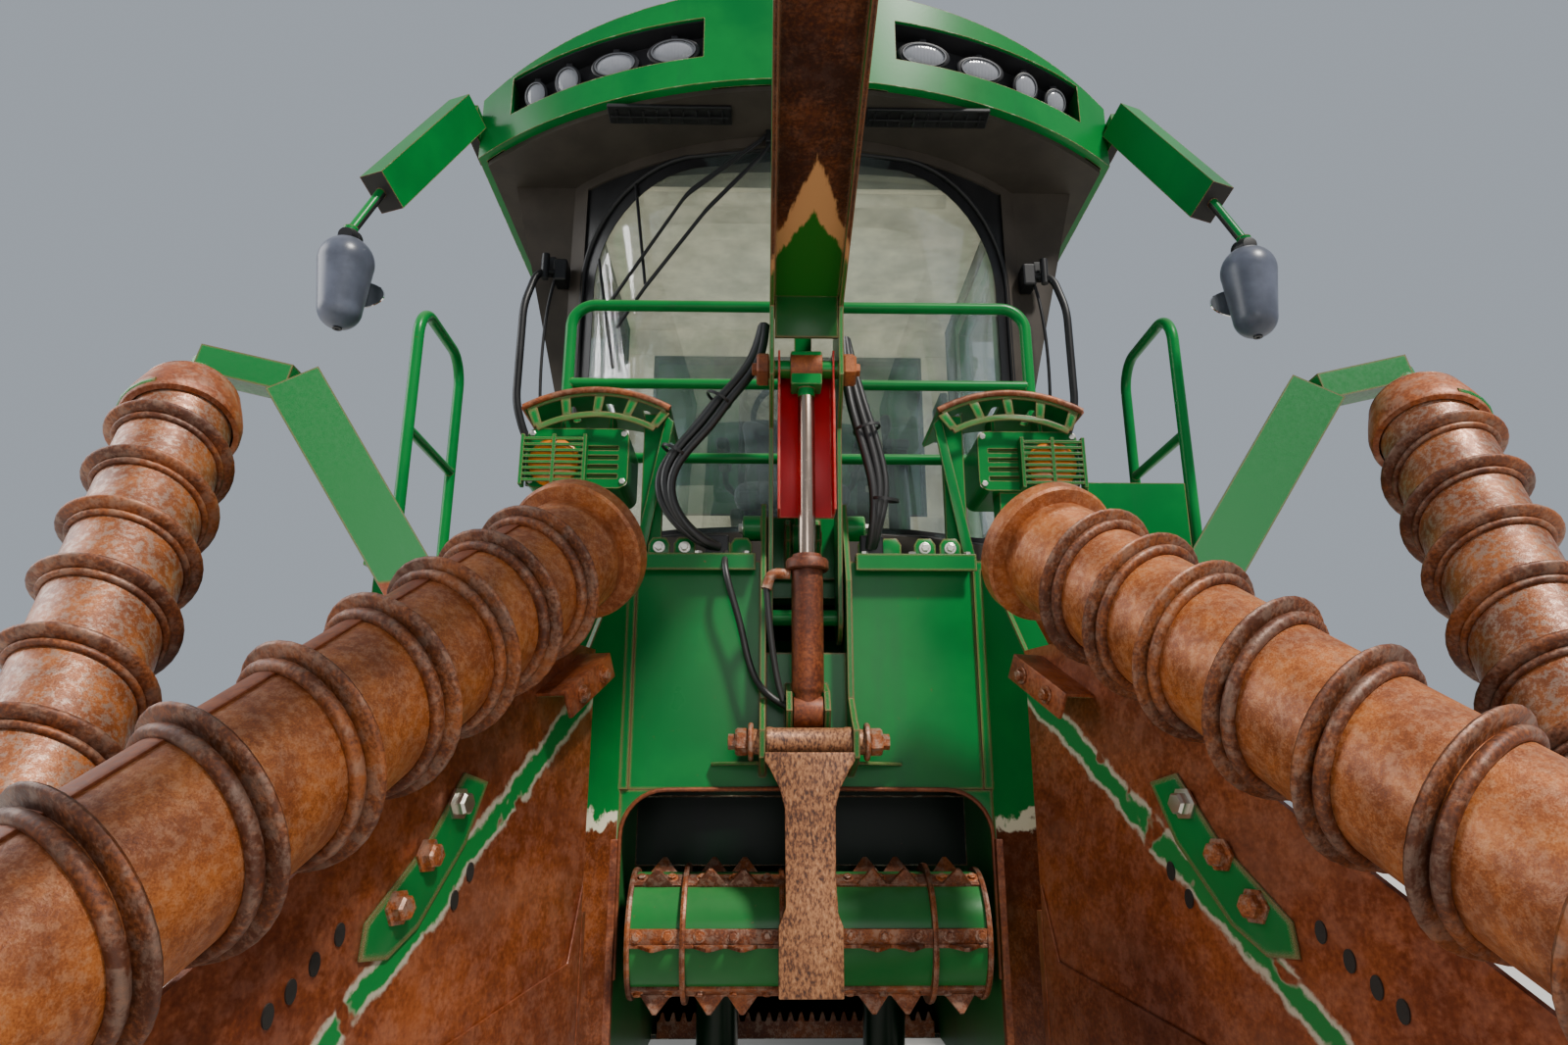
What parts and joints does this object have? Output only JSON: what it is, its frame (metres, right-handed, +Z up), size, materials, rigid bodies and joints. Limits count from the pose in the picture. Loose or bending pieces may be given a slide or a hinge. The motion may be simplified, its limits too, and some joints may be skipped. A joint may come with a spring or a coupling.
{
  "type": "sugarcane harvester",
  "caption": "Wheeled sugarcane harvester with spiral crop dividers, a topper on a boom, a cab, an extractor and a slewing elevator.",
  "frame": {"origin": "middle of the whole machine's footprint, on the ground", "axes": "+Z up, -Y the way it drives, +X the machine's left side with the cab door and ladder"},
  "size_m": [3.1456, 14.429, 4.8276],
  "materials": {
    "green_paint": "worn gloss paint",
    "rusty_steel": "rust-brown bare steel",
    "scroll_steel": "rusted and rubbed steel",
    "cutter_steel": "ground steel",
    "dark_metal": "matt black paint",
    "engine_metal": "dull grey",
    "cab_trim": "dark brown-grey",
    "roof_shell": "weathered gloss green",
    "clear_glass": "tinted clear",
    "seat_cloth": "woven, dark grey",
    "console_plastic": "matt",
    "lamp_lens": "clear lens over a reflector",
    "mirror_case": "matt charcoal",
    "chromed_rod": "polished",
    "tyre_rubber": "dusty black",
    "rim_paint": "yellow paint",
    "chain_steel": "dull worn steel"
  },
  "bodies": {
    "chassis": {"chassis_frame": "green_paint", "front_body": "green_paint", "roller_arm": "rusty_steel", "feed_tunnel": "green_paint", "wheel_carriers": "green_paint", "side_tanks": "green_paint", "engine_block": "engine_metal", "engine_cover": "green_paint", "side_grilles": "dark_metal", "exhaust_stack": "dark_metal", "cab_shell": "cab_trim", "cab_roof": "roof_shell", "cab_glass": "clear_glass", "operator_seat": "seat_cloth", "steering_console": "console_plastic", "roof_lamps": "lamp_lens", "lamp_pods": "green_paint", "rails": "green_paint", "walkways": "green_paint", "mirror_arms": "green_paint", "mirrors": "mirror_case", "extractor_chamber": "green_paint"},
    "door": {"cab_door": "cab_trim", "door_glass": "clear_glass"},
    "roller": {"knockdown_roller": "green_paint"},
    "cutter_left": {"basecutter_disc_left": "cutter_steel"},
    "cutter_right": {"basecutter_disc_right": "cutter_steel"},
    "divider_left": {"divider_frame_left": "rusty_steel"},
    "divider_right": {"divider_frame_right": "rusty_steel"},
    "inner_scroll_left": {"inner_scroll_left": "scroll_steel"},
    "inner_scroll_right": {"inner_scroll_right": "scroll_steel"},
    "outer_scroll_left": {"outer_scroll_left": "scroll_steel"},
    "outer_scroll_right": {"outer_scroll_right": "scroll_steel"},
    "boom": {"topper_boom": "green_paint"},
    "link": {"topper_link": "green_paint"},
    "cylinder": {"boom_cylinder": "rusty_steel"},
    "rod": {"boom_rod": "chromed_rod"},
    "head": {"topper_head": "green_paint"},
    "drum_left": {"gathering_drum_left": "rusty_steel"},
    "drum_right": {"gathering_drum_right": "rusty_steel"},
    "hood": {"primary_hood": "green_paint"},
    "fan": {"primary_fan": "dark_metal"},
    "slew_base": {"elevator_base": "green_paint"},
    "elevator": {"elevator_frame": "green_paint", "elevator_chain": "chain_steel"},
    "lift_cylinders": {"elevator_cylinders": "dark_metal"},
    "lift_rods": {"elevator_rods": "chromed_rod"},
    "end_hood": {"secondary_hood": "green_paint"},
    "knuckle_left": {"knuckle_left": "green_paint"},
    "knuckle_right": {"knuckle_right": "green_paint"},
    "front_wheel_left": {"front_tyre_left": "tyre_rubber", "front_rim_left": "rim_paint"},
    "front_wheel_right": {"front_tyre_right": "tyre_rubber", "front_rim_right": "rim_paint"},
    "rear_wheel_left": {"rear_tyre_left": "tyre_rubber", "rear_rim_left": "rim_paint"},
    "rear_wheel_right": {"rear_tyre_right": "tyre_rubber", "rear_rim_right": "rim_paint"}
  },
  "joints": [
    {"name": "door_hinge", "type": "hinge", "parent": "chassis", "child": "door", "pos_m": [0.88, -1.4679, 2.4], "axis": [0, 0, 1], "range_deg": [0, 80]},
    {"name": "roller_spin", "type": "hinge", "parent": "chassis", "child": "roller", "pos_m": [0, -3.1179, 0.76], "axis": [1, 0, 0], "continuous": true},
    {"name": "cutter_left_spin", "type": "hinge", "parent": "chassis", "child": "cutter_left", "pos_m": [0.24, -2.6079, 0.15], "axis": [0, -0.1736, 0.9848], "continuous": true},
    {"name": "cutter_right_spin", "type": "hinge", "parent": "chassis", "child": "cutter_right", "pos_m": [-0.24, -2.6079, 0.15], "axis": [0, -0.1736, 0.9848], "continuous": true},
    {"name": "divider_left_lift", "type": "hinge", "parent": "chassis", "child": "divider_left", "pos_m": [0.707, -3.3679, 0.9], "axis": [-1, 0, 0], "range_deg": [0, 10]},
    {"name": "inner_scroll_left_spin", "type": "hinge", "parent": "divider_left", "child": "inner_scroll_left", "pos_m": [0.52, -3.6179, 1.63], "axis": [-0.288, 0.7835, 0.5506], "continuous": true},
    {"name": "outer_scroll_left_spin", "type": "hinge", "parent": "divider_left", "child": "outer_scroll_left", "pos_m": [1.47, -3.5879, 2], "axis": [0.2019, 0.5228, 0.8282], "continuous": true},
    {"name": "divider_right_lift", "type": "hinge", "parent": "chassis", "child": "divider_right", "pos_m": [-0.707, -3.3679, 0.9], "axis": [-1, 0, 0], "range_deg": [0, 10]},
    {"name": "inner_scroll_right_spin", "type": "hinge", "parent": "divider_right", "child": "inner_scroll_right", "pos_m": [-0.52, -3.6179, 1.63], "axis": [0.288, 0.7835, 0.5506], "continuous": true},
    {"name": "outer_scroll_right_spin", "type": "hinge", "parent": "divider_right", "child": "outer_scroll_right", "pos_m": [-1.47, -3.5879, 2], "axis": [-0.2019, 0.5228, 0.8282], "continuous": true},
    {"name": "boom_hinge", "type": "hinge", "parent": "chassis", "child": "boom", "pos_m": [0, -3.1079, 1.56], "axis": [-1, 0, 0], "range_deg": [-20, 10]},
    {"name": "link_hinge", "type": "hinge", "parent": "chassis", "child": "link", "pos_m": [0, -3.0179, 1.81], "axis": [-1, 0, 0], "range_deg": [-20, 10]},
    {"name": "head_hinge", "type": "hinge", "parent": "boom", "child": "head", "pos_m": [0, -6.44052, 3.0627], "axis": [-1, 0, 0], "range_deg": [-10, 20]},
    {"name": "drum_left_spin", "type": "hinge", "parent": "head", "child": "drum_left", "pos_m": [0.43, -6.96052, 2.6], "axis": [0, 0, 1], "continuous": true},
    {"name": "drum_right_spin", "type": "hinge", "parent": "head", "child": "drum_right", "pos_m": [-0.43, -6.96052, 2.6], "axis": [0, 0, 1], "continuous": true},
    {"name": "cylinder_hinge", "type": "hinge", "parent": "chassis", "child": "cylinder", "pos_m": [0, -3.2779, 1.29], "axis": [-1, 0, 0], "range_deg": [-15, 8]},
    {"name": "rod_slide", "type": "slide", "parent": "cylinder", "child": "rod", "axis": [0, -0.0216, 0.9998], "range_m": [-0.07, 0.036]},
    {"name": "hood_swivel", "type": "hinge", "parent": "chassis", "child": "hood", "pos_m": [0, 1.8321, 3], "axis": [0, 0, 1], "range_deg": [-170, 170]},
    {"name": "fan_spin", "type": "hinge", "parent": "chassis", "child": "fan", "pos_m": [0, 1.8321, 2.62], "axis": [0, 0, 1], "continuous": true},
    {"name": "elevator_slew", "type": "hinge", "parent": "chassis", "child": "slew_base", "pos_m": [0, 1.8321, 1.15], "axis": [0, 0, 1], "range_deg": [-80, 80]},
    {"name": "elevator_lift", "type": "hinge", "parent": "slew_base", "child": "elevator", "pos_m": [0, 2.4721, 0.86], "axis": [1, 0, 0], "range_deg": [-10, 12]},
    {"name": "lift_cylinder_hinge", "type": "hinge", "parent": "slew_base", "child": "lift_cylinders", "pos_m": [0, 2.6021, 0.52], "axis": [1, 0, 0], "range_deg": [-9.5, 11.5]},
    {"name": "lift_rod_slide", "type": "slide", "parent": "lift_cylinders", "child": "lift_rods", "axis": [0, 0.7348, 0.6783], "range_m": [-0.065, 0.078]},
    {"name": "end_hood_swivel", "type": "hinge", "parent": "elevator", "child": "end_hood", "pos_m": [0, 6.79552, 4.20731], "axis": [0, 0, 1], "range_deg": [-170, 170]},
    {"name": "steer_left", "type": "hinge", "parent": "chassis", "child": "knuckle_left", "pos_m": [0.6, -2.4679, 0.45], "axis": [0, 0, 1], "range_deg": [-25, 25]},
    {"name": "front_wheel_left_spin", "type": "hinge", "parent": "knuckle_left", "child": "front_wheel_left", "pos_m": [0.93, -2.4679, 0.45], "axis": [1, 0, 0], "continuous": true},
    {"name": "rear_wheel_left_spin", "type": "hinge", "parent": "chassis", "child": "rear_wheel_left", "pos_m": [0.93, 0.4321, 0.81], "axis": [1, 0, 0], "continuous": true},
    {"name": "steer_right", "type": "hinge", "parent": "chassis", "child": "knuckle_right", "pos_m": [-0.6, -2.4679, 0.45], "axis": [0, 0, 1], "range_deg": [-25, 25]},
    {"name": "front_wheel_right_spin", "type": "hinge", "parent": "knuckle_right", "child": "front_wheel_right", "pos_m": [-0.93, -2.4679, 0.45], "axis": [1, 0, 0], "continuous": true},
    {"name": "rear_wheel_right_spin", "type": "hinge", "parent": "chassis", "child": "rear_wheel_right", "pos_m": [-0.93, 0.4321, 0.81], "axis": [1, 0, 0], "continuous": true}
  ],
  "couplings": [
    {"joint": "cutter_right_spin", "follows": "cutter_left_spin", "ratio": -1},
    {"joint": "link_hinge", "follows": "boom_hinge", "ratio": 1},
    {"joint": "head_hinge", "follows": "boom_hinge", "ratio": -1},
    {"joint": "cylinder_hinge", "follows": "boom_hinge", "ratio": 0.72},
    {"joint": "rod_slide", "follows": "boom_hinge", "m_per_rad": 0.19},
    {"joint": "lift_cylinder_hinge", "follows": "elevator_lift", "ratio": 0.9},
    {"joint": "lift_rod_slide", "follows": "elevator_lift", "m_per_rad": 0.34},
    {"joint": "steer_right", "follows": "steer_left", "ratio": 1}
  ]
}
